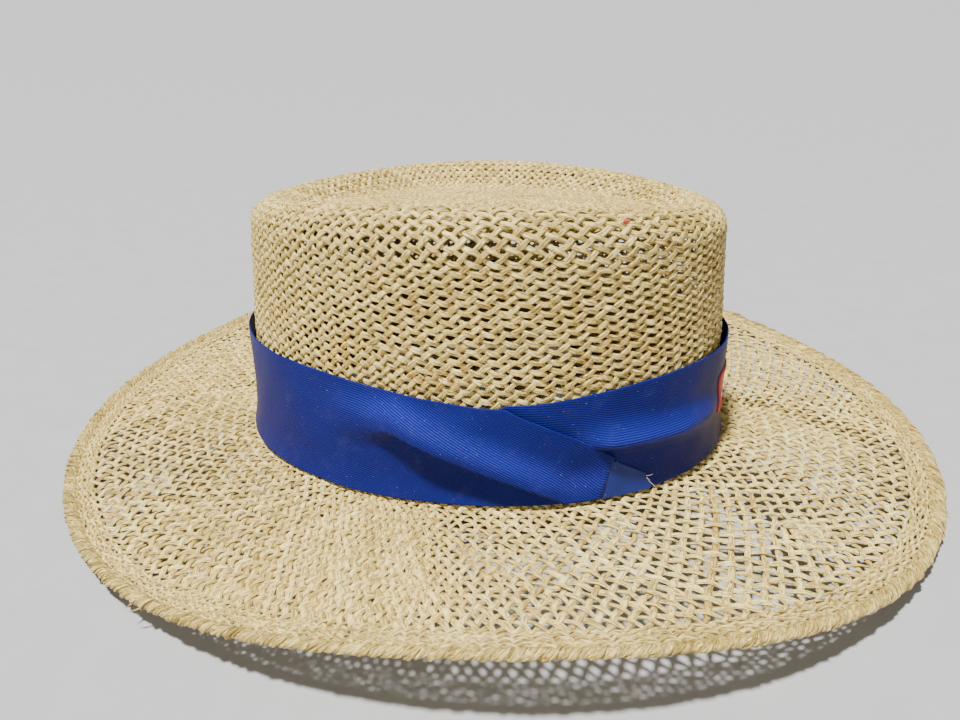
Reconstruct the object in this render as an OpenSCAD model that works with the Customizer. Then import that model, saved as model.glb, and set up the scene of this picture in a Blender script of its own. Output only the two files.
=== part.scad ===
// Woven straw hat with a sunken telescope crown, a wide brim with a rolled edge, and a folded ribbon.
// The hat stands on its brim. X runs along the head from back to front, Y across it, and Z up.
// The origin is under the middle of the brim, on the surface that the hat stands on.
// The crown leans a little, so its pieces are made in a frame of its own, which on_crown() sets in place.

/* [Head opening] */
// Length of the oval where the crown meets the brim, outside the straw
head_len = 212; // [204:1:220]
// Width of the same oval
head_wid = 170; // [164:1:178]
// Height of the break between crown and brim
break_h = 5.5; // [5.1:0.1:7]
// How far the break rises at the sides and falls at front and back
break_saddle = 1.5; // [1.1:0.1:2]
// How far the crown sits behind the middle of the brim
crown_shift = 4.5; // [0:0.5:6]

/* [Crown] */
// Height of the shoulder above the break
shoulder_h = 91; // [80:1:98]
// Height of the ridge round the tip above the break
ridge_h = 102; // [100:0.5:115]
// How far the wall leans in at front and back, from break to shoulder
taper_ends = 7; // [0:0.5:10]
// How far the wall leans in at the sides
taper_sides = 8; // [0:0.5:10]
// Width of the round shoulder, from the wall to the ridge
shoulder_w = 12; // [8:0.5:18]
// How far the ridge rises at the sides and falls at front and back
ridge_saddle = 3.3; // [0:0.1:4]
// How much more the ridge rises on the right side, and falls on the left
ridge_slant = 2.5; // [0:0.5:4]
// Width of the slope from the ridge in to the floor of the tip
slope_w = 17; // [12:0.5:24]
// Depth of the tip below the ridge
tip_depth = 9; // [6:0.5:20]
// How far the floor of the tip swells up in the middle
tip_swell = 2; // [0:0.5:4]
// Sideways lean of the crown, in degrees
crown_lean = 3; // [0:0.1:3.2]
// Thickness of the woven straw
straw_t = 2; // [1.5:0.1:2.4]

/* [Brim] */
// Width of the brim, from the crown to the middle of the rolled edge
brim_w = 81; // [60:1:90]
// How far the edge rises at the sides
side_rise = 23; // [10:1:30]
// How far round from the front and back the edge is lowest, in degrees
rise_turn = 7.5; // [-10:0.5:10]
// How late the brim rises on its way out: 1 is straight
brim_sweep = 1.3; // [1:0.1:2]
// Width of the close-woven border inside the rolled edge
border_w = 9; // [6:0.5:14]
// Radius of the rolled edge
edge_r = 3.4; // [3.4:0.1:4]
// Radius of the wire in the rolled edge
wire_r = 0.6; // [0.5:0.1:0.8]

/* [Ribbon] */
// Height of the ribbon
ribbon_h = 44; // [35:1:50]
// Thickness of the ribbon, which is two layers of twill
ribbon_t = 1.2; // [0.8:0.1:1.6]
// Where the lapped end leaves the top of the ribbon, in degrees round the crown
lap_from = -172; // [-176:1:-150]
// Where the lapped end is folded under
lap_to = -64; // [-80:1:-60]
// Where the point of the tail ends
tail_to = -53; // [-58:1:-50]
// Height at which the lap's upper edge meets the fold
fold_top = 17; // [14:1:24]
// Height of the crease under the lap, where it is highest
crease_h = 14; // [8:1:20]

/* [Badge] */
// Width of the plain badge on the front of the ribbon
badge_w = 56; // [30:1:60]
// Height of the badge
badge_h = 17; // [10:1:22]
// Thickness of the badge
badge_t = 0.5; // [0.4:0.1:1]

/* [Sweatband] */
// Height of the sweatband
sweat_h = 34; // [25:1:40]
// Thickness of the sweatband
sweat_t = 1; // [0.8:0.1:1.2]
// Radius of the reed in the sweatband's lower fold
reed_r = 1.2; // [1:0.1:1.4]
// Number of stitches that hold the sweatband
stitch_count = 72; // [48:4:96]

/* [Hidden] */

straw = [0.85, 0.78, 0.60];
straw_dark = [0.78, 0.69, 0.46];
blue = [0.12, 0.20, 0.52];
blue_light = [0.20, 0.30, 0.66];
red = [0.78, 0.12, 0.14];
leather = [0.42, 0.26, 0.15];
thread_white = [0.92, 0.91, 0.88];
steel = [0.62, 0.63, 0.65];
paper = [0.93, 0.92, 0.88];

turn = 5;              // degrees from one section of a ring to the next
seam_gap = 0.1;        // between areas of the weave that meet
cloth_gap = 0.2;       // between the straw and what lies on it
sweat_gap = 0.8;       // between the wall and the sweatband, where the size tab is tucked
edge_sink = 0.3;       // how much of the rolled edge is pressed flat where the hat stands
sheet_drop = 0.3;      // top of the border below the middle of the rolled edge
roll_bore = 1.1;       // radius of the space inside the rolled edge
roll_from = -116;      // the roll's lower lip, in degrees up from straight out
roll_to = 180;         // the roll's upper lip
ribbon_low = 1.2;      // lower edge of the ribbon above the break
crease_at = -114;      // where the crease under the lap is highest
lap_steepness = 9;     // how sharply the lap turns down near the fold
tab_at = 152;          // where the size tab is tucked, in degrees round the crown
stitch_r = 0.3;        // radius of every thread
bow_reach = 11;        // length of a loop of the sweatband's bow
bow_belly = 3.4;       // how far a loop is open
bow_h = 6;             // width of the bow's ribbon
bow_cloth = 0.5;       // its thickness
knot_w = 3.6;          // width of the bow's knot
bow_gap = 1.5;         // between the sweatband and the bow, where the seam's thread lies
big = 600;             // larger than the hat

edge_h = edge_r - edge_sink;
wall_a = head_len/2;
wall_b = head_wid/2;
ridge_a = wall_a - taper_ends - shoulder_w;
ridge_b = wall_b - taper_sides - shoulder_w;
ring_angles = [for (t = [-180:turn:180 - turn]) t];

// ---- Shared shapes ----

// Numbers from first to last in equal steps
function spread(first, last, steps) = [for (i = [0:steps]) first + (last - first)*i/steps];

function reversed(list) = [for (i = [len(list) - 1:-1:0]) list[i]];

// Outward direction, level, at angle t of the head oval
function outward(t) =
    let (n = [wall_b*cos(t), wall_a*sin(t), 0])
    n/norm(n);

// Joins sections with triangles. A loop joins the last to the first, and an open run is closed at its ends.
// A section runs out along one face and back along the other, so its ends close as a strip.
module swept(sections, loop = true) {
    n = len(sections[0]);
    m = len(sections);
    sides = [for (i = [0:loop ? m - 1 : m - 2], j = [0:n - 1])
        let (k = (i + 1)%m, l = (j + 1)%n)
        each [[i*n + j, k*n + l, i*n + l], [i*n + j, k*n + j, k*n + l]]];
    strip = [for (j = [0:n/2 - 2])
        each [[j, j + 1, n - 2 - j], [j, n - 2 - j, n - 1 - j]]];
    last = (m - 1)*n;
    ends = loop ? [] : concat(strip, [for (f = strip) [f[2] + last, f[1] + last, f[0] + last]]);
    polyhedron([for (s = sections) each s], concat(sides, ends), convexity = 8);
}

// A disc with its rings given from the rim in, closed by a point at the middle of each face
module dished(upper, lower, top_point, low_point) {
    rings = concat(reversed(upper), lower);
    n = len(upper[0]);
    m = len(rings);
    sides = [for (i = [0:m - 2], j = [0:n - 1])
        let (l = (j + 1)%n)
        each [[i*n + j, (i + 1)*n + j, (i + 1)*n + l], [i*n + j, (i + 1)*n + l, i*n + l]]];
    caps = [for (j = [0:n - 1])
        let (l = (j + 1)%n)
        each [[m*n, j, l], [m*n + 1, (m - 1)*n + l, (m - 1)*n + j]]];
    polyhedron(concat([for (r = rings) each r], [top_point, low_point]), concat(sides, caps), convexity = 8);
}

module on_crown() {
    translate([-crown_shift, 0, break_h]) rotate([-crown_lean, 0, 0]) children();
}

// The same place as on_crown() gives, for one point
function leaned(p) = [p.x - crown_shift,
                      p.y*cos(crown_lean) + p.z*sin(crown_lean),
                      p.z*cos(crown_lean) - p.y*sin(crown_lean) + break_h];

// ---- Crown ----

// On the wall: h above the break, d out from its outer face, at angle t
function wall_point(h, d, t) =
    let (k = h/shoulder_h)
    [(wall_a - taper_ends*k + d)*cos(t),
     (wall_b - taper_sides*k + d)*sin(t),
     h - break_saddle*cos(2*t)*(1 - k)];

function ridge_wave(t) = -ridge_saddle*cos(2*t) - ridge_slant*sin(t);

// On the shoulder: q is 0 at the wall and 90 on the ridge
function shoulder_point(q, d, t) =
    let (inset = (shoulder_w + d)*(1 - cos(q)))
    [(wall_a - taper_ends + d - inset)*cos(t),
     (wall_b - taper_sides + d - inset)*sin(t),
     shoulder_h + (ridge_h - shoulder_h + d)*sin(q) + ridge_wave(t)*sin(q)];

// On the slope inside the ridge: u is 0 on the ridge and 1 at the floor
function slope_point(u, d, t) =
    [(ridge_a - slope_w*u)*cos(t),
     (ridge_b - slope_w*u)*sin(t),
     ridge_h + d - tip_depth*(1 - cos(180*u))/2 + ridge_wave(t)*(1 - u)];

// On the floor of the tip: k is 1 at the slope and 0 in the middle
function floor_point(k, d, t) =
    [(ridge_a - slope_w)*k*cos(t),
     (ridge_b - slope_w)*k*sin(t),
     ridge_h + d - tip_depth + tip_swell*(1 - k*k)];

function wall_face(d, t) = concat(
    [for (h = spread(0, shoulder_h, 6)) wall_point(h, d, t)],
    [for (q = spread(15, 90, 5)) shoulder_point(q, d, t)]);

module crown_wall() {
    color(straw) on_crown()
        swept([for (t = ring_angles) concat(wall_face(0, t), reversed(wall_face(-straw_t, t)))]);
}

function tip_rings(d) = concat(
    [for (u = spread(seam_gap/slope_w, 1, 6)) [for (t = ring_angles) slope_point(u, d, t)]],
    [for (k = [0.75, 0.5, 0.25]) [for (t = ring_angles) floor_point(k, d, t)]]);

module crown_tip() {
    color(straw) on_crown()
        dished(tip_rings(0), tip_rings(-straw_t), floor_point(0, 0, 0), floor_point(0, -straw_t, 0));
}

// ---- Brim ----

// Middle line of the rolled edge
function edge_point(t) =
    [wall_a*cos(t), wall_b*sin(t), edge_h + side_rise*pow(sin(t - rise_turn), 4)] + brim_w*outward(t);

// On the brim's top face: s is 0 at the outside of the crown and 1 at the middle of the rolled edge.
// A little less than 0 is under the wall.
function brim_point(s, drop, t) =
    let (inner = leaned(wall_point(0, 0, t)) - [0, 0, seam_gap],
         outer = edge_point(t) - [0, 0, sheet_drop],
         level = inner + (outer - inner)*s,
         z = inner.z + (outer.z - inner.z)*pow(max(s, 0), brim_sweep))
    [level.x, level.y, z - drop];

function brim_section(from, to, steps, t) = concat(
    [for (s = spread(from, to, steps)) brim_point(s, 0, t)],
    [for (s = spread(to, from, steps)) brim_point(s, straw_t, t)]);

border_at = 1 - border_w/brim_w;

module brim() {
    color(straw)
        swept([for (t = ring_angles) reversed(brim_section(-straw_t/brim_w, border_at - seam_gap/brim_w, 6, t))]);
}

module brim_border() {
    roll_mouth = 1 - (roll_bore + cloth_gap)/brim_w;
    color(straw)
        swept([for (t = ring_angles) reversed(brim_section(border_at, roll_mouth, 2, t))]);
}

// On a circle round the edge line: f is 0 straight out and 90 straight up
function edge_ring_point(r, f, t) = edge_point(t) + r*cos(f)*outward(t) + [0, 0, r*sin(f)];

module rolled_edge() {
    bends = spread(roll_from, roll_to, 12);
    color(straw_dark) difference() {
        swept([for (t = ring_angles) concat(
            [for (f = bends) edge_ring_point(edge_r, f, t)],
            [for (f = reversed(bends)) edge_ring_point(roll_bore, f, t)])]);
        translate([-big/2, -big/2, -edge_r]) cube([big, big, edge_r]);
    }
}

module edge_wire() {
    color(steel)
        swept([for (t = ring_angles) [for (f = [0:45:315]) edge_ring_point(wire_r, f, t)]]);
}

// ---- Ribbon ----

// A strip of cloth over the wall, from height low to height high, d out from the straw
function strip_section(low, high, d, thick, t) = concat(
    [for (h = spread(low, high, 3)) wall_point(h, d + thick, t)],
    [for (h = spread(high, low, 3)) wall_point(h, d, t)]);

lap_d = cloth_gap + ribbon_t + cloth_gap;

function lap_top(t) =
    ribbon_h - (ribbon_h - fold_top)*pow((t - lap_from)/(lap_to - lap_from), lap_steepness);

function lap_low(t) =
    let (k = min(1, (lap_to - t)/(lap_to - crease_at)))
    ribbon_low + (crease_h - ribbon_low)*k;

function tail_top(t) =
    let (k = (t - lap_to)/(tail_to - lap_to))
    fold_top - (fold_top - ribbon_low - 2)*k;

module ribbon_wrap() {
    color(blue) on_crown()
        swept([for (t = ring_angles) strip_section(ribbon_low, ribbon_h, cloth_gap, ribbon_t, t)]);
}

module ribbon_lap() {
    color(blue_light) on_crown()
        swept([for (t = spread(lap_from, lap_to, 27)) strip_section(lap_low(t), lap_top(t), lap_d, ribbon_t, t)],
              loop = false);
}

module ribbon_tail() {
    start = lap_to + 0.3;
    color(blue) on_crown()
        swept([for (t = spread(start, tail_to, 4)) strip_section(ribbon_low, tail_top(t), lap_d, ribbon_t/2, t)],
              loop = false);
}

// A straight stitch lying on the wall's curve at angle t and height h, d out from the straw
module stitch(t, h, d, length, lift = 0) {
    p = wall_point(h, d, t);
    along = atan2(wall_b*cos(t), -wall_a*sin(t));
    translate(p) rotate([0, 0, along]) rotate([0, 90 - lift, 0])
        cylinder(r = stitch_r, h = length, center = true, $fn = 16);
}

module ribbon_tacks() {
    on_lap = lap_d + ribbon_t/2 + cloth_gap + stitch_r;
    on_wrap = 2*cloth_gap + ribbon_t + stitch_r;
    on_crown() {
        color(thread_white) stitch(tail_to + 1.5, ribbon_low + 2.2, on_lap, 2.4, lift = 50);
        color(blue) for (t = [-20, 40, 90, 140, 190])
            stitch(t, ribbon_low + 1.5, on_wrap, 2);
        color(blue) for (t = [15, 65, 115, 165])
            stitch(t, ribbon_h - 1.5, on_wrap, 2);
    }
}

module front_badge() {
    half = badge_w/wall_b*90/PI;
    mid = ribbon_h*0.55;
    badge_d = 2*cloth_gap + ribbon_t;
    color(red) on_crown()
        swept([for (t = spread(-half, half, 6))
            strip_section(mid - badge_h/2, mid + badge_h/2, badge_d, badge_t, t)], loop = false);
}

// ---- Sweatband ----

sweat_d = -straw_t - sweat_gap - sweat_t;
seam_half = 0.2;       // half the gap between the sweatband's ends, in degrees

module sweatband() {
    color(leather) on_crown()
        swept([for (t = spread(-180 + seam_half, 180 - seam_half, 72))
            strip_section(reed_r*2, sweat_h, sweat_d, sweat_t, t)], loop = false);
}

module sweatband_reed() {
    d = sweat_d + sweat_t/2;
    color(leather) on_crown()
        swept([for (t = ring_angles)
            [for (f = [0:45:315]) wall_point(reed_r, d, t) + reed_r*(cos(f)*outward(t) + [0, 0, sin(f)])]]);
}

module sweatband_stitches() {
    pitch = 360/stitch_count;
    color(thread_white) on_crown()
        for (i = [0:stitch_count - 1])
            stitch(-180 + (i + 0.5)*pitch, reed_r*2 + 2, sweat_d - cloth_gap/2 - stitch_r, 4.5);
}

module sweatband_seam() {
    low = reed_r*2 + 4;
    color(thread_white) on_crown()
        for (h = [low:2.5:sweat_h - 3])
            stitch(180, h, sweat_d - cloth_gap - stitch_r, 3, lift = 35);
}

// Flat loop of ribbon, as a ring in plan: its knot end is at the origin and it reaches along +X
module bow_loop() {
    half = bow_reach/2;
    difference() {
        polygon([for (a = [0:15:345]) [half - half*cos(a), bow_belly/2*sin(a)]]);
        polygon([for (a = [0:15:345]) [half - (half - bow_cloth)*cos(a), (bow_belly/2 - bow_cloth)*sin(a)]]);
    }
}

module sweatband_bow() {
    seat = wall_point(sweat_h*0.6, sweat_d - bow_gap - bow_belly/2, 180);
    follow = 9;        // turns each loop to follow the curve of the head
    color(blue) on_crown() translate(seat) {
        for (side = [-1, 1])
            rotate([0, 0, side*(90 - follow)]) translate([knot_w/2 + cloth_gap/2, 0, -bow_h/2])
                linear_extrude(height = bow_h) bow_loop();
        cube([knot_w, bow_belly, bow_h + 1], center = true);
    }
}

module size_tab() {
    color(paper) on_crown()
        swept([for (t = spread(tab_at, tab_at + 8, 3))
            strip_section(sweat_h - 12, sweat_h + 7, -straw_t - 0.6, 0.4, t)], loop = false);
}

crown_tip();
crown_wall();
brim();
brim_border();
rolled_edge();
edge_wire();
ribbon_wrap();
ribbon_lap();
ribbon_tail();
ribbon_tacks();
front_badge();
sweatband();
sweatband_reed();
sweatband_stitches();
sweatband_seam();
sweatband_bow();
size_tab();
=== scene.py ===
import math

import bpy
import numpy as np
from mathutils import Matrix, Vector


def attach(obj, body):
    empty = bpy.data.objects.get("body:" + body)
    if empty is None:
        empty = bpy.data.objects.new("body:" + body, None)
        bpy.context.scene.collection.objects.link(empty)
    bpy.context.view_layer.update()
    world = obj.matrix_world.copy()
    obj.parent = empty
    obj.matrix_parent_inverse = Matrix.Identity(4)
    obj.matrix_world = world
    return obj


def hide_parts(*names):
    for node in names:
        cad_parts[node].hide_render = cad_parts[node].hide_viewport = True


# Looks of a woven straw hat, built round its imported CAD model.
# Shapes are worked out in millimetres, as in the CAD source, and become metres when a mesh is made.
# Along a meridian of the hat, v is the distance from the middle of the tip out to the rolled edge.
# Round the hat, t is the angle of the head oval, 0 at the wearer's front, and turns is the share of
# the way round at that level, so that even steps of turns are evenly spaced straw.

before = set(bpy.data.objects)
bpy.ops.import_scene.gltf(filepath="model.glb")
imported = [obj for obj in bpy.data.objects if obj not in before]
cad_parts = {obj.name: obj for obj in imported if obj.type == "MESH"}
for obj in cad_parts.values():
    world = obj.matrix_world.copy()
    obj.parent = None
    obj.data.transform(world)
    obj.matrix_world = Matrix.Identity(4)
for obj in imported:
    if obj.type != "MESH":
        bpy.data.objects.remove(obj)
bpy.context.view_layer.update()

# ---- Driving values, in millimetres and degrees, the same as in the CAD source ----

HEAD_LEN, HEAD_WID = 212, 170
BREAK_H, BREAK_SADDLE, CROWN_SHIFT, CROWN_LEAN = 5.5, 1.5, 4.5, math.radians(3)
SHOULDER_H, RIDGE_H, SHOULDER_W = 91, 102, 12
TAPER_ENDS, TAPER_SIDES = 7, 8
RIDGE_SADDLE, RIDGE_SLANT = 3.3, 2.5
SLOPE_W, TIP_DEPTH, TIP_SWELL = 17, 9, 2
STRAW_T = 2
BRIM_W, SIDE_RISE, RISE_TURN, BRIM_SWEEP = 81, 23, math.radians(7.5), 1.3
BORDER_W, EDGE_R, EDGE_SINK, SHEET_DROP = 9, 3.4, 0.3, 0.3
RIBBON_H, RIBBON_LOW, CLOTH_GAP = 44, 1.2, 0.2
BADGE_W, BADGE_H, BADGE_MID, BADGE_T = 56, 17, 0.55 * RIBBON_H, 0.5
SWEAT_H, SWEAT_T, SWEAT_GAP, REED_R, STITCH_COUNT = 34, 1, 0.8, 1.2, 72
SWEAT_D = -STRAW_T - SWEAT_GAP - SWEAT_T
TAB_AT, TAB_SPAN = 152, 8
WALL_A, WALL_B = HEAD_LEN / 2, HEAD_WID / 2
RIDGE_A, RIDGE_B = WALL_A - TAPER_ENDS - SHOULDER_W, WALL_B - TAPER_SIDES - SHOULDER_W

# ---- Where the areas of the weave begin, as distances along a meridian ----

SLOPE_V = (RIDGE_A + RIDGE_B) / 2 - SLOPE_W
SHOULDER_V = SLOPE_V + math.hypot(SLOPE_W, TIP_DEPTH)
WALL_V = SHOULDER_V + math.pi / 4 * (SHOULDER_W + RIDGE_H - SHOULDER_H)
BREAK_V = WALL_V + SHOULDER_H
EDGE_V = BREAK_V + BRIM_W
BORDER_V = EDGE_V - BORDER_W
BREAK_ROUND = 3        # distance from the break over which the weave bends from wall to brim

# ---- The straw ----

STRAND_SIDES = 6
FLAT_TOP = 0.7         # below 1 gives a strand's oval section a flatter top
SAMPLES = 4            # tube sections from one crossing to the next
FIRST_STRANDS = 6      # crossings in the first row, round the middle of the tip
FIRST_V = 0.9
MAX_TRIANGLES = 190_000    # most triangles in one piece; in one piece, so that its exported mesh is kept whole
SEED = 7


def outward(t):
    """Level outward direction at angle t of the head oval."""
    n = np.stack([WALL_B * np.cos(t), WALL_A * np.sin(t), 0 * t], -1)
    return n / np.linalg.norm(n, axis=-1, keepdims=True)


def leaned(p):
    """From the crown's own frame to the hat's."""
    x, y, z = np.moveaxis(p, -1, 0)
    c, s = math.cos(CROWN_LEAN), math.sin(CROWN_LEAN)
    return np.stack([x - CROWN_SHIFT, y * c + z * s, z * c - y * s + BREAK_H], -1)


def oval(a, b, z, t):
    return np.stack([a * np.cos(t), b * np.sin(t), z + 0 * t], -1)


def wall_point(h, d, t):
    """On the wall, in the crown's frame: h above the break and d out from the straw's outer face."""
    k = h / SHOULDER_H
    z = h - BREAK_SADDLE * np.cos(2 * t) * (1 - k)
    return oval(WALL_A - TAPER_ENDS * k + d, WALL_B - TAPER_SIDES * k + d, z, t)


def ridge_wave(t):
    return -RIDGE_SADDLE * np.cos(2 * t) - RIDGE_SLANT * np.sin(t)


def shoulder_point(q, t):
    """On the shoulder: q is 0 at the wall and a right angle on the ridge."""
    inset = SHOULDER_W * (1 - np.cos(q))
    z = SHOULDER_H + (RIDGE_H - SHOULDER_H) * np.sin(q) + ridge_wave(t) * np.sin(q)
    return oval(WALL_A - TAPER_ENDS - inset, WALL_B - TAPER_SIDES - inset, z, t)


def slope_point(u, t):
    """On the slope inside the ridge: u is 0 on the ridge and 1 at the floor of the tip."""
    z = RIDGE_H - TIP_DEPTH * (1 - np.cos(np.pi * u)) / 2 + ridge_wave(t) * (1 - u)
    return oval(RIDGE_A - SLOPE_W * u, RIDGE_B - SLOPE_W * u, z, t)


def floor_point(k, t):
    """On the floor of the tip: k is 0 in the middle and 1 at the slope."""
    z = RIDGE_H - TIP_DEPTH + TIP_SWELL * (1 - k * k)
    return oval((RIDGE_A - SLOPE_W) * k, (RIDGE_B - SLOPE_W) * k, z, t)


def crown_point(v, t):
    """On the crown's outer face at distance v along the meridian, in the hat's frame."""
    local = np.select(
        [(v < SLOPE_V)[..., None], (v < SHOULDER_V)[..., None], (v < WALL_V)[..., None]],
        [floor_point(v / SLOPE_V, t),
         slope_point(1 - (v - SLOPE_V) / (SHOULDER_V - SLOPE_V), t),
         shoulder_point((1 - (v - SHOULDER_V) / (WALL_V - SHOULDER_V)) * math.pi / 2, t)],
        wall_point(BREAK_V - v, 0, t))
    return leaned(local)


def edge_point(t):
    """Middle line of the rolled edge."""
    rise = EDGE_R - EDGE_SINK + SIDE_RISE * np.sin(t - RISE_TURN) ** 4
    return oval(WALL_A, WALL_B, 0, t) + rise[..., None] * np.array([0, 0, 1]) + BRIM_W * outward(t)


def brim_point(v, t):
    """On the brim's top face."""
    s = np.maximum(v - BREAK_V, 0)[..., None] / BRIM_W
    inner = leaned(wall_point(0, 0, t))
    outer = edge_point(t) - [0, 0, SHEET_DROP]
    across = inner + (outer - inner) * s
    rise = (outer - inner) * (s ** BRIM_SWEEP - s)
    return across + rise * [0, 0, 1]


def hat_point(v, t):
    """On the straw's outer face, anywhere from the middle of the tip to the rolled edge."""
    w = np.clip((v - BREAK_V) / BREAK_ROUND, -1, 1)[..., None] / 2 + 0.5
    start = crown_point(0 * v + BREAK_V - BREAK_ROUND, t)
    corner = crown_point(0 * v + BREAK_V, t)
    end = brim_point(0 * v + BREAK_V + BREAK_ROUND, t)
    bend = start * (1 - w) ** 2 + 2 * corner * w * (1 - w) + end * w ** 2
    crown, brim = (v < BREAK_V - BREAK_ROUND)[..., None], (v > BREAK_V + BREAK_ROUND)[..., None]
    return np.where(crown, crown_point(v, t), np.where(brim, brim_point(v, t), bend))


def smooth_step(x, low, high):
    k = np.clip((x - low) / (high - low), 0, 1)
    return k * k * (3 - 2 * k)


def unit(a):
    return a / np.maximum(np.linalg.norm(a, axis=-1, keepdims=True), 1e-12)


def hat_normal(v, t):
    """Outward direction of the straw's face, which is upward on the brim."""
    dv, dt = 0.4, 0.01
    down = hat_point(v + dv, t) - hat_point(v - dv, t)
    round_it = hat_point(v, t + dt) - hat_point(v, t - dt)
    return unit(np.cross(down, round_it))


# ---- Even spacing round the hat ----

LEVELS = np.linspace(FIRST_V / 2, EDGE_V, 160)
CIRCLE = np.linspace(0, 2 * math.pi, 361)
TURN_STEPS = np.linspace(0, 1, 361)


def measure_levels():
    """The hat's girth at each level, and the angle t at even shares of the way round it.

    On the brim the strands partly run on from where they left the break, so its shares count there too.
    """
    v, t = np.meshgrid(LEVELS, CIRCLE, indexing="ij")
    steps = np.linalg.norm(np.diff(hat_point(v, t), axis=1), axis=2)
    way = np.concatenate([np.zeros((len(LEVELS), 1)), np.cumsum(steps, axis=1)], axis=1)
    shares = way / way[:, -1:]
    at_break = shares[np.searchsorted(LEVELS, BREAK_V)]
    kept = smooth_step(LEVELS, EDGE_V + BRIM_W, BREAK_V)[:, None]
    shares = np.where(LEVELS[:, None] > BREAK_V, shares + (at_break - shares) * kept, shares)
    angles = np.array([np.interp(TURN_STEPS, share, CIRCLE) for share in shares])
    return way[:, -1], angles


GIRTHS, ANGLES = measure_levels()


def girth(v):
    return np.interp(v, LEVELS, GIRTHS)


def angle_at(v, turns):
    """The angle t of a point at a share of the way round, at level v."""
    row = np.clip(np.interp(v, LEVELS, np.arange(len(LEVELS))), 0, len(LEVELS) - 1.001)
    whole = np.floor(turns)
    column = (turns - whole) * (len(TURN_STEPS) - 1)
    i, j = row.astype(int), np.minimum(column.astype(int), len(TURN_STEPS) - 2)
    f, g = row - i, column - j
    low = ANGLES[i, j] * (1 - g) + ANGLES[i, j + 1] * g
    high = ANGLES[i + 1, j] * (1 - g) + ANGLES[i + 1, j + 1] * g
    return low * (1 - f) + high * f + 2 * math.pi * whole


# ---- Meshes ----


def make_piece(name, points, quads, material, nodes=(), attributes=None, creased=False):
    """A mesh piece from points in millimetres and four-sided faces, riding on the hat.

    A creased piece is made of straw tubes whose long edges stay sharp.
    """
    mesh = bpy.data.meshes.new(name)
    mesh.vertices.add(len(points))
    mesh.vertices.foreach_set("co", (np.asarray(points) / 1000).astype(np.float32).ravel())
    mesh.loops.add(quads.size)
    mesh.loops.foreach_set("vertex_index", quads.astype(np.int32).ravel())
    mesh.polygons.add(len(quads))
    mesh.polygons.foreach_set("loop_start", np.arange(0, quads.size, 4, dtype=np.int32))
    for key, values in (attributes or {}).items():
        kind = "FLOAT_VECTOR" if values.ndim == 2 else "FLOAT"
        field = "vector" if values.ndim == 2 else "value"
        layer = mesh.attributes.new(key, kind, "POINT")
        layer.data.foreach_set(field, values.astype(np.float32).ravel())
    mesh.update()
    mesh.validate()
    mesh.polygons.foreach_set("use_smooth", [True] * len(mesh.polygons))
    if creased:
        ends = np.empty(2 * len(mesh.edges), np.int32)
        mesh.edges.foreach_get("vertices", ends)
        long_edge = np.abs(ends[::2] - ends[1::2]) == STRAND_SIDES
        mesh.edges.foreach_set("use_edge_sharp", long_edge)
    mesh.materials.append(material)
    piece = bpy.data.objects.new(name, mesh)
    bpy.context.scene.collection.objects.link(piece)
    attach(piece, "root")
    if nodes:
        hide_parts(*nodes)
    return piece


def tubes(centres, lifts, first, width, thick, tone, roll, sides=STRAND_SIDES):
    """Closed tubes with an oval section, all made at once.

    centres holds the sections of every tube in turn, and first is true at the first of each.
    lifts points away from the surface a tube lies on, and roll turns a section out of that.
    Gives points, faces and fibre directions.
    """
    count = len(centres)
    last = np.append(first[1:], True)
    ahead = np.where(last, np.arange(count), np.arange(count) + 1)
    behind = np.where(first, np.arange(count), np.arange(count) - 1)
    along = unit(centres[ahead] - centres[behind])
    up = unit(lifts - along * (lifts * along).sum(-1, keepdims=True))
    side = np.cross(up, along)
    c, s = np.cos(roll)[:, None], np.sin(roll)[:, None]
    side, up = side * c + up * s, up * c - side * s
    turn = np.arange(sides) * 2 * math.pi / sides
    flat = np.sign(np.cos(turn)) * np.abs(np.cos(turn)) ** FLAT_TOP
    ring = (side[:, None] * (flat * width[:, None] / 2)[..., None]
            + up[:, None] * (np.sin(turn) * thick[:, None] / 2)[..., None])
    points = (centres[:, None] + ring).reshape(-1, 3)

    corner = np.arange(sides)
    body = np.nonzero(~last)[0][:, None] * sides
    walls = np.stack([body + corner, body + (corner + 1) % sides,
                      body + (corner + 1) % sides + sides, body + corner + sides], -1)
    cap = np.array([[i, i + 1, sides - 2 - i, sides - 1 - i] for i in range(sides // 2 - 1)])
    start = np.nonzero(first)[0][:, None, None] * sides + cap[:, ::-1]
    end = np.nonzero(last)[0][:, None, None] * sides + cap
    quads = np.concatenate([a.reshape(-1, 4) for a in (walls, start, end)])

    step = np.linalg.norm(centres - centres[behind], axis=-1)
    way = np.cumsum(step)
    fibre = np.stack([np.repeat(way, sides), np.tile(np.cos(turn), count),
                      np.tile(np.sin(turn), count)], -1)
    return points, quads, {"fibre": fibre, "tone": np.repeat(tone, sides)}


def tube_piece(name, centres, lifts, width, thick, tone, material, nodes,
               roll=0.0, sides=STRAND_SIDES, creased=False):
    """A piece made of tubes with the same number of sections.

    The last two axes of centres run along a tube and over x, y and z.
    """
    shape = centres.shape[:-1]
    first = np.zeros(shape, bool)
    first[..., 0] = True
    sizes = [np.broadcast_to(a, shape).ravel() for a in (width, thick, tone, roll)]
    lifts = np.broadcast_to(lifts, centres.shape)
    points, quads, attributes = tubes(centres.reshape(-1, 3), lifts.reshape(-1, 3), first.ravel(),
                                      *sizes, sides=sides)
    return make_piece(name, points, quads, material, nodes, attributes, creased)


# ---- The weave ----

# Levels at which the weave is described, and what it is like there
SPACING_V = [0, SLOPE_V - 2, SLOPE_V + 4, WALL_V, BREAK_V - 45, BREAK_V, BREAK_V + 10,
             BORDER_V - 1.7, BORDER_V - 0.2, EDGE_V]
# From one row of crossings to the next, going outwards
ROW_STEP = [1.3, 1.25, 1.7, 1.7, 1.85, 2.3, 3.1, 3.3, 1.0, 0.8]
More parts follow.
